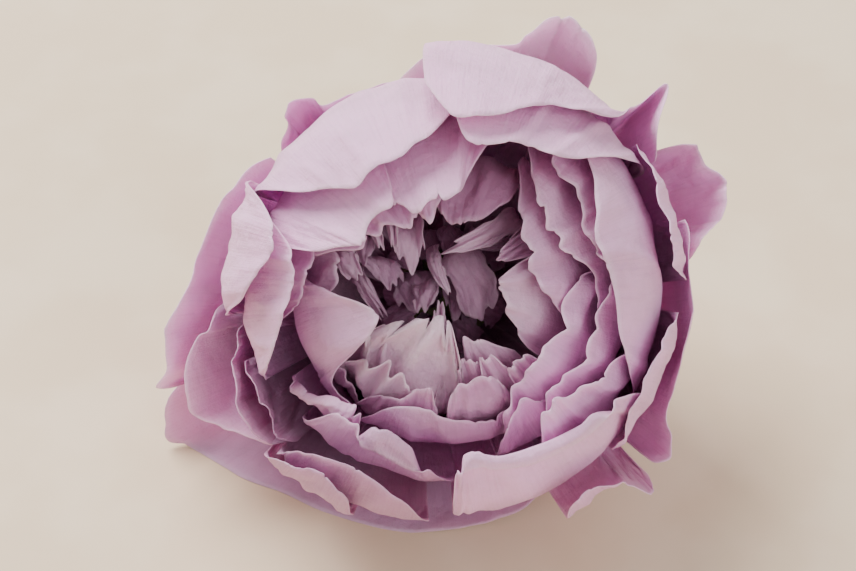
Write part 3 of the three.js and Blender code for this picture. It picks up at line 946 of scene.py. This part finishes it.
# ---- Where the flower's own frame stands in the part's ----
def to_part(points):
    e = (90 - AXIS_ELEVATION) * DEG
    turned = points @ np.array([[1, 0, 0], [0, math.cos(e), math.sin(e)], [0, -math.sin(e), math.cos(e)]])
    return turned + PLACE


stem_low, stem_high = (np.array(corner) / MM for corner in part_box("receptacle_and_stem"))
stem_end = -SURFACE_DEPTH / UP[2] + (STEM_RADIUS - STEM_CHAMFER) * UP[1] / UP[2]
PLACE = np.zeros(3)
stem_edge = max(
    to_part(np.array([0, side * radius, height]))[1]
    for side in (-1, 1)
    for radius, height in ((STEM_RADIUS - STEM_CHAMFER, stem_end), (STEM_RADIUS, stem_end + STEM_CHAMFER))
)
PLACE = np.array([(stem_low[0] + stem_high[0]) / 2, stem_high[1] - stem_edge, SURFACE_DEPTH])


# ---- Sheets ----
def make_sheet(name, surface, grid, thickness, margin_thickness, tone):
    """A closed sheet round a middle surface, with what its material needs to know at each point:
    its distance from the margin and its rise from the claw, both in millimetres, and its tone; the rise and
    the tone carry painted shade and light."""
    across, along = grid
    u, v = np.meshgrid(np.linspace(0, 1, across + 1), np.linspace(0, 1, along + 1))
    middle = surface(u, v)
    step = 0.5 / max(grid)
    du = surface(np.clip(u + step, 0, 1), v) - surface(np.clip(u - step, 0, 1), v)
    dv = surface(u, np.clip(v + step, 0, 1)) - surface(u, np.clip(v - step, 0, 1))
    normal = np.cross(du, dv)
    normal /= np.maximum(np.linalg.norm(normal, axis=-1, keepdims=True), 1e-9)
    widths = np.linalg.norm(np.diff(middle, axis=1), axis=-1)
    lengths = np.linalg.norm(np.diff(middle, axis=0), axis=-1)
    rise = np.vstack([np.zeros(across + 1), np.cumsum(lengths, 0)])
    from_left = np.hstack([np.zeros((along + 1, 1)), np.cumsum(widths, 1)])
    from_right = from_left[:, -1:] - from_left
    from_margin = np.minimum(rise[-1:] - rise, np.minimum(from_left, from_right) * 1.6)
    half = lerp(margin_thickness, thickness, smooth(from_margin / MARGIN_FADE))[..., None] / 2
    both = np.stack([middle + normal * half, middle - normal * half])
    points = to_part(both.reshape(-1, 3))

    row = across + 1
    layer = row * (along + 1)
    corner = (np.arange(along)[:, None] * row + np.arange(across)).ravel()
    outer = np.stack([corner, corner + 1, corner + 1 + row, corner + row], 1)
    inner = outer[:, ::-1] + layer
    rim = np.concatenate([
        np.arange(across),
        across + np.arange(along) * row,
        along * row + np.arange(across, 0, -1),
        np.arange(along, 0, -1) * row,
    ])
    after = np.roll(rim, -1)
    wall = np.stack([rim, rim + layer, after + layer, after], 1)
    faces = np.vstack([outer, inner, wall])

    mesh = bpy.data.meshes.new(name)
    mesh.from_pydata((points * MM).tolist(), [], faces.tolist())
    mesh.polygons.foreach_set("use_smooth", np.ones(len(faces), bool))
    widest = from_left[:, -1].max()
    flat = np.stack([(u - 0.5) * widest, rise], -1).reshape(-1, 2)
    flat = np.vstack([flat, flat])
    uv = mesh.uv_layers.new(name="petal")
    uv.data.foreach_set("uv", flat[faces.ravel()].astype(np.float32).ravel())
    for key, values in (("from_margin", from_margin), ("rise", v), ("tone", np.full_like(u, tone))):
        attribute = mesh.attributes.new(key, "FLOAT", "POINT")
        attribute.data.foreach_set("value", np.tile(values.ravel(), 2).astype(np.float32))
    mesh.validate()
    made = bpy.data.objects.new(name, mesh)
    bpy.context.scene.collection.objects.link(made)
    return made


# ---- Materials ----
def srgb(r, g, b):
    """A linear colour from sRGB values of 0 to 255."""
    return (*(((c / 255 + 0.055) / 1.055) ** 2.4 if c > 10 else c / 255 / 12.92 for c in (r, g, b)), 1)


class Tree:
    """Short calls for one material's nodes."""

    def __init__(self, name):
        self.material = bpy.data.materials.new(name)
        self.material.use_nodes = True
        self.tree = self.material.node_tree
        self.shader = self.tree.nodes["Principled BSDF"]

    def node(self, kind, **settings):
        made = self.tree.nodes.new(kind)
        for key, value in settings.items():
            setattr(made, key, value)
        return made

    def wire(self, source, target):
        self.tree.links.new(source, target)

    def put(self, socket, value):
        if isinstance(value, bpy.types.NodeSocket):
            self.wire(value, socket)
        else:
            socket.default_value = value

    def attribute(self, name):
        return self.node("ShaderNodeAttribute", attribute_name=name).outputs["Fac"]

    def math(self, operation, a, b=0.0):
        made = self.node("ShaderNodeMath", operation=operation)
        self.put(made.inputs[0], a)
        self.put(made.inputs[1], b)
        return made.outputs[0]

    def remap(self, value, low, high, to_low=0.0, to_high=1.0):
        made = self.node("ShaderNodeMapRange", interpolation_type="SMOOTHSTEP")
        for socket, given in zip(made.inputs, (value, low, high, to_low, to_high)):
            self.put(socket, given)
        return made.outputs[0]

    def mix(self, amount, a, b, blend="MIX"):
        made = self.node("ShaderNodeMix", data_type="RGBA", blend_type=blend)
        self.put(made.inputs["Factor"], amount)
        self.put(made.inputs[6], a)
        self.put(made.inputs[7], b)
        return made.outputs[2]

    def noise(self, vector, scale, detail=3.0, roughness=0.55):
        made = self.node("ShaderNodeTexNoise")
        self.wire(vector, made.inputs["Vector"])
        for key, value in (("Scale", scale), ("Detail", detail), ("Roughness", roughness)):
            made.inputs[key].default_value = value
        return made.outputs["Fac"]

    def stretched(self, vector, scale):
        made = self.node("ShaderNodeMapping")
        self.wire(vector, made.inputs["Vector"])
        made.inputs["Scale"].default_value = scale
        return made.outputs[0]

    def bump(self, height, strength, distance, under=None):
        made = self.node("ShaderNodeBump")
        made.inputs["Strength"].default_value = strength
        made.inputs["Distance"].default_value = distance
        self.wire(height, made.inputs["Height"])
        if under is not None:
            self.wire(under, made.inputs["Normal"])
        return made.outputs[0]


def petal_material(name, light, body, deep, pale, crinkle):
    """Petal tissue: streaks that fan out from the claw, a pale dry margin, painted shade darkening the petal
    towards its claw deep in the bowl, and painted light and shade from the petal's tone.
    """
    t = Tree(name)
    place = t.node("ShaderNodeTexCoord").outputs["Object"]
    flat = t.node("ShaderNodeUVMap", uv_map="petal").outputs[0]
    tone = t.attribute("tone")
    streak = t.noise(t.stretched(flat, (1.5, 0.07, 1)), 1.0, 4, 0.6)
    vein = t.noise(t.stretched(flat, (5.5, 0.22, 1)), 1.0, 3, 0.6)
    cloud = t.noise(place, 70, 3, 0.5)
    fleck = t.noise(place, 900, 2, 0.6)
    # Random clouds between body and light colour; the tone shifts them, as painted light on high-toned
    # petals and painted shade on low-toned ones.
    colour = t.mix(t.remap(t.math("ADD", cloud, t.math("MULTIPLY", tone, 0.18)), 0.35, 0.68), body, light)
    colour = t.mix(t.remap(streak, 0.45, 0.75, 0, 0.12), colour, deep)
    colour = t.mix(t.remap(vein, 0.5, 0.72, 0, 0.12), colour, light)
    # Painted shade: darker towards the claw, where the petal lies deep in the bowl under the others.
    colour = t.mix(t.remap(t.attribute("rise"), 0.45, 0.05, 0, 0.7), colour, deep)
    wander = t.math("MULTIPLY", t.math("SUBTRACT", cloud, 0.5), 3.0)
    ragged = t.math("ADD", t.attribute("from_margin"), wander)
    colour = t.mix(t.remap(ragged, 1.4, -0.6, 0, 0.3), colour, pale)
    # Painted shade: petals with a negative tone, which lie in shadow, go towards deep mauve.
    colour = t.mix(t.remap(tone, 0.0, -1.0, 0, 0.5), colour, deep)
    # Painted light: petals with a tone near 1, which are brightly lit, go towards pale.
    colour = t.mix(t.remap(tone, 0.6, 1.0, 0, 0.7), colour, pale)
    colour = t.mix(t.remap(fleck, 0.62, 0.75, 0, 0.12), colour, deep)
    t.wire(colour, t.shader.inputs["Base Color"])
    t.wire(t.remap(streak, 0.3, 0.7, 0.5, 0.68), t.shader.inputs["Roughness"])
    fine = t.bump(vein, 0.35, 0.00012)
    broad = t.bump(streak, 0.4, 0.0004, fine)
    t.wire(t.bump(t.noise(place, crinkle, 5, 0.62), 0.5, 0.0009, broad), t.shader.inputs["Normal"])
    for key, value in (
        ("Subsurface Weight", 0.35),
        ("Subsurface Scale", 0.0012),
        ("Sheen Weight", 0.03),
        ("Sheen Roughness", 0.5),
        ("Specular IOR Level", 0.15),
    ):
        t.shader.inputs[key].default_value = value
    t.shader.inputs["Subsurface Radius"].default_value = (1.0, 0.55, 0.8)
    return t.material


def green_material(name, light, dark, streaks):
    """Sepal or stem skin: long streaks and soft blotches."""
    t = Tree(name)
    place = t.node("ShaderNodeTexCoord").outputs["Object"]
    streak = t.noise(t.stretched(place, streaks), 1.0, 4, 0.6)
    blotch = t.noise(place, 160, 3, 0.5)
    colour = t.mix(t.remap(streak, 0.35, 0.7), dark, light)
    colour = t.mix(t.remap(blotch, 0.5, 0.75, 0, 0.4), colour, srgb(150, 120, 110))
    t.wire(colour, t.shader.inputs["Base Color"])
    t.wire(t.remap(blotch, 0.3, 0.7, 0.5, 0.65), t.shader.inputs["Roughness"])
    t.wire(t.bump(streak, 0.4, 0.0004), t.shader.inputs["Normal"])
    t.shader.inputs["Subsurface Weight"].default_value = 0.1
    t.shader.inputs["Subsurface Scale"].default_value = 0.001
    return t.material


LIGHT = srgb(236, 180, 222)
BODY = srgb(216, 168, 203)
# DEEP is the deep mauve of streaks and flecks, and also the colour of the painted shade near the claw and on
# low-toned petals.
DEEP = srgb(146, 104, 134)
PALE = srgb(248, 216, 232)
# The heart's light and body colours are darker copies of the bowl's: painted shade of the deep heart.
HEART_SHADED_LIGHT = srgb(222, 178, 206)
HEART_SHADED_BODY = srgb(196, 146, 180)
MATERIALS = {
    "petal": petal_material("petal_tissue", LIGHT, BODY, DEEP, PALE, 500),
    "guard_petal": petal_material("guard_petal_tissue", LIGHT, BODY, DEEP, PALE, 420),
    "heart_petal": petal_material("heart_petal_tissue", HEART_SHADED_LIGHT, HEART_SHADED_BODY, DEEP, PALE, 700),
    "sepal": green_material("sepal_skin", srgb(142, 158, 108), srgb(96, 116, 72), (900, 120, 900)),
    "stem": green_material("stem_skin", srgb(150, 160, 110), srgb(106, 122, 74), (1500, 250, 250)),
}


def dress(piece, slot, node=None):
    """Material, chosen by slot, and body of a piece; node is the piece of the frame that it stands for."""
    piece.data.materials.append(MATERIALS[slot])
    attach(piece, "root")
    if node:
        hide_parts(node)


def slot_of(name):
    for start, slot in (("guard_", "guard_petal"), ("edge_", "guard_petal"), ("heart_", "heart_petal")):
        if name.startswith(start):
            return slot
    return "petal"


# ---- The bloom ----
def add_petal(petal, surface, grid, node=None):
    name = petal["name"]
    piece = make_sheet(name + "_fine", surface, grid, PETAL_THICKNESS, MARGIN_THICKNESS, petal["tone"])
    dress(piece, slot_of(name), node)


for number, petal in enumerate(WALL_PETALS):
    random = np.random.default_rng(100 + number)
    surface = bowl_surface(petal, CLAW_HALF_ANGLE, SHOULDER_DROP, PETAL_THICKNESS, random)
    add_petal(petal, surface, WALL_GRID, petal["name"])

for number, petal in enumerate(HEART_BOWL_PETALS):
    random = np.random.default_rng(200 + number)
    surface = bowl_surface(petal, HEART_CLAW_HALF_ANGLE, HEART_SHOULDER_DROP, PETAL_THICKNESS, random)
    add_petal(petal, surface, HEART_GRID, petal["name"])

for number, petal in enumerate(HEART_LOOSE_PETALS):
    random = np.random.default_rng(300 + number)
    add_petal(petal, loose_surface(petal, random), HEART_GRID, petal["name"])

for number, petal in enumerate(HEART_EXTRA_PETALS):
    random = np.random.default_rng(500 + number)
    add_petal(petal, loose_surface(petal, random), HEART_GRID)

for number in range(DEEP_PETALS):
    random = np.random.default_rng(600 + number)
    azimuth = 360 * DEG * (number + random.uniform(-0.3, 0.3)) / DEEP_PETALS
    out = np.array([math.cos(azimuth), math.sin(azimuth)])
    height = random.uniform(17, 24)
    spine = [
        [*(out * DEEP_FOOT)],
        [*(out * DEEP_BELLY), height - DEEP_RISE],
        [*(out * random.uniform(8, 11)), height],
        [*(out * random.uniform(4, 7)), height + DEEP_TIP_RISE],
    ]
    petal = dict(
        name=f"heart_petal_deep_{number + 1}",
        spine=spine,
        width=random.uniform(4, 6.5),
        across=azimuth / DEG - 90,
        cup=DEEP_CUP,
        # The lowest tone: painted shade of the deep heart.
        tone=-1,
    )
    add_petal(petal, loose_surface(petal, random), HEART_GRID)

for number, azimuth in enumerate(SEPAL_AZIMUTHS):
    random = np.random.default_rng(400 + number)
    margin = [
        [azimuth - SEPAL_HALF_ANGLE, SEPAL_SHOULDER_POLAR, SEPAL_FLARE],
        [azimuth, SEPAL_TIP_POLAR, SEPAL_FLARE],
        [azimuth + SEPAL_HALF_ANGLE, SEPAL_SHOULDER_POLAR, SEPAL_FLARE],
    ]
    sepal = dict(name=f"sepal_{number + 1}", rank=SEPAL_RANK, margin=margin, ruffle=0.3, notch=0.5, roll=0.1)
    surface = bowl_surface(sepal, CLAW_HALF_ANGLE, SHOULDER_DROP, SEPAL_THICKNESS, random)
    piece = make_sheet(sepal["name"] + "_fine", surface, HEART_GRID, SEPAL_THICKNESS, SEPAL_THICKNESS / 2, 0)
    dress(piece, "sepal", sepal["name"])

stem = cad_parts["receptacle_and_stem"]
stem.data.materials.clear()
stem.data.materials.append(MATERIALS["stem"])


# ---- Floor, light and camera, in metres ----
FLOOR_HALF = 3.0
LIGHT_TARGET = (0, 0, 0.04)
WORLD_STRENGTH = 0.62


def plain_floor():
    t = Tree("pale_floor")
    place = t.node("ShaderNodeTexCoord").outputs["Object"]
    mottle = t.remap(t.noise(place, 40, 3, 0.5), 0.4, 0.65)
    colour = t.mix(mottle, srgb(222, 200, 172), srgb(228, 208, 182))
    t.wire(colour, t.shader.inputs["Base Color"])
    t.shader.inputs["Roughness"].default_value = 0.9
    half = FLOOR_HALF
    corners = [(-half, -half, 0), (half, -half, 0), (half, half, 0), (-half, half, 0)]
    mesh = bpy.data.meshes.new("floor")
    mesh.from_pydata(corners, [], [(0, 1, 2, 3)])
    mesh.materials.append(t.material)
    made = bpy.data.objects.new("floor", mesh)
    bpy.context.scene.collection.objects.link(made)


def aim(thing, target):
    direction = Vector(target) - thing.location
    thing.rotation_euler = direction.to_track_quat("-Z", "Y").to_euler()


def soft_light(name, place, size, watts, colour):
    lamp = bpy.data.lights.new(name, "AREA")
    lamp.size = size
    lamp.energy = watts
    lamp.color = colour
    made = bpy.data.objects.new(name, lamp)
    bpy.context.scene.collection.objects.link(made)
    made.location = place
    aim(made, LIGHT_TARGET)


plain_floor()
soft_light("key_above_left", (-0.30, 0.28, 0.64), 0.5, 11.5, (1.0, 0.98, 0.95))
soft_light("fill_front_right", (0.45, -0.60, 0.55), 0.6, 4.2, (1.0, 0.97, 0.96))
world = bpy.data.worlds.new("studio")
world.use_nodes = True
world.node_tree.nodes["Background"].inputs["Color"].default_value = (1.0, 0.97, 0.95, 1)
world.node_tree.nodes["Background"].inputs["Strength"].default_value = WORLD_STRENGTH
bpy.context.scene.world = world

CAMERA_ELEVATION = 45
CAMERA_DISTANCE = 0.309
CAMERA_LENS = 85
CAMERA_TARGET = (-0.0016, -0.0033, 0.0397)
camera = bpy.data.objects.new("camera", bpy.data.cameras.new("camera"))
bpy.context.scene.collection.objects.link(camera)
camera.data.lens = CAMERA_LENS
camera.data.clip_start = 0.01
tilt = CAMERA_ELEVATION * DEG
camera.location = Vector(CAMERA_TARGET) + Vector((0, -math.cos(tilt), math.sin(tilt))) * CAMERA_DISTANCE
aim(camera, CAMERA_TARGET)
bpy.context.scene.camera = camera
